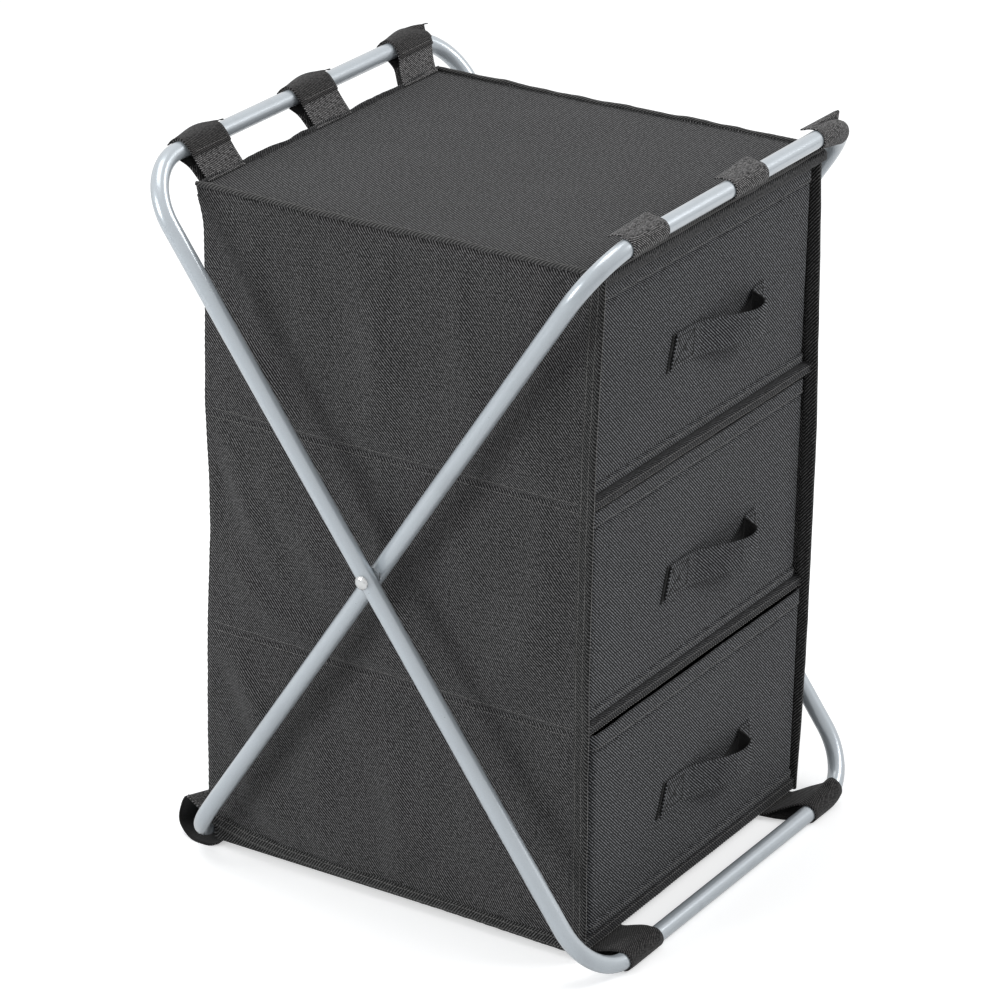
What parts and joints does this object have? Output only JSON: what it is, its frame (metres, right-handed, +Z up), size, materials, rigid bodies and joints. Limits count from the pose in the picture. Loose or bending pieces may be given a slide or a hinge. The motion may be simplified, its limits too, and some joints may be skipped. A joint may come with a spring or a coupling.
{
  "type": "fabric drawer storage tower",
  "caption": "Fabric drawer storage tower on a folding X frame of silver tube: a charcoal cloth cabinet with drawers and webbing handles, tied to the bars with straps",
  "frame": {"origin": "on the floor, under the middle of the frame's pivot axis", "axes": "+Z up, the drawers open toward -Y, X runs along the pivot axis and +X is the right side seen from the front"},
  "size_m": [0.448, 0.444, 0.637],
  "materials": {
    "frame_paint": "satin silver-grey paint",
    "rivet_steel": "bright zinc plate",
    "cabinet_fabric": "charcoal non-woven twill-embossed cloth",
    "drawer_fabric": "dark grey twill-embossed cloth",
    "strap_fabric": "dark grey webbing and binding",
    "grey_board": "raw grey fibreboard"
  },
  "bodies": {
    "cabinet": {"frame_b_tube": "frame_paint", "pivot_rivet_left": "rivet_steel", "pivot_rivet_right": "rivet_steel", "pivot_washer_left": "rivet_steel", "pivot_washer_right": "rivet_steel", "side_panel_left": "cabinet_fabric", "side_panel_right": "cabinet_fabric", "back_panel": "cabinet_fabric", "top_cover": "cabinet_fabric", "top_board": "grey_board", "upper_shelf_cover": "cabinet_fabric", "upper_shelf_board": "grey_board", "lower_shelf_cover": "cabinet_fabric", "lower_shelf_board": "grey_board", "bottom_cover": "cabinet_fabric", "bottom_board": "grey_board", "front_binding_left": "strap_fabric", "front_binding_right": "strap_fabric", "top_edge_piping": "strap_fabric", "strap_top_front_left": "strap_fabric", "strap_top_front_middle": "strap_fabric", "strap_top_front_right": "strap_fabric", "strap_top_back_left": "strap_fabric", "strap_top_back_middle": "strap_fabric", "strap_top_back_right": "strap_fabric", "strap_bottom_front_left": "strap_fabric", "strap_bottom_front_right": "strap_fabric", "strap_bottom_back_left": "strap_fabric", "strap_bottom_back_right": "strap_fabric"},
    "frame_a": {"frame_a_tube": "frame_paint"},
    "drawer_top": {"drawer_top_shell": "drawer_fabric", "drawer_top_front_board": "grey_board", "drawer_top_base_board": "grey_board", "drawer_top_handle": "strap_fabric"},
    "drawer_middle": {"drawer_middle_shell": "drawer_fabric", "drawer_middle_front_board": "grey_board", "drawer_middle_base_board": "grey_board", "drawer_middle_handle": "strap_fabric"},
    "drawer_bottom": {"drawer_bottom_shell": "drawer_fabric", "drawer_bottom_front_board": "grey_board", "drawer_bottom_base_board": "grey_board", "drawer_bottom_handle": "strap_fabric"}
  },
  "joints": [
    {"name": "frame_fold", "type": "hinge", "parent": "cabinet", "child": "frame_a", "pos_m": [0, 0, 0.3185], "axis": [1, 0, 0], "range_deg": [0, 65], "deforming": ["strap_top_back_left", "strap_top_back_middle", "strap_top_back_right", "strap_bottom_front_left", "strap_bottom_front_right"]},
    {"name": "drawer_top_slide", "type": "slide", "parent": "cabinet", "child": "drawer_top", "axis": [0, -1, 0], "range_m": [0, 0.3]},
    {"name": "drawer_middle_slide", "type": "slide", "parent": "cabinet", "child": "drawer_middle", "axis": [0, -1, 0], "range_m": [0, 0.3]},
    {"name": "drawer_bottom_slide", "type": "slide", "parent": "cabinet", "child": "drawer_bottom", "axis": [0, -1, 0], "range_m": [0, 0.3]}
  ]
}
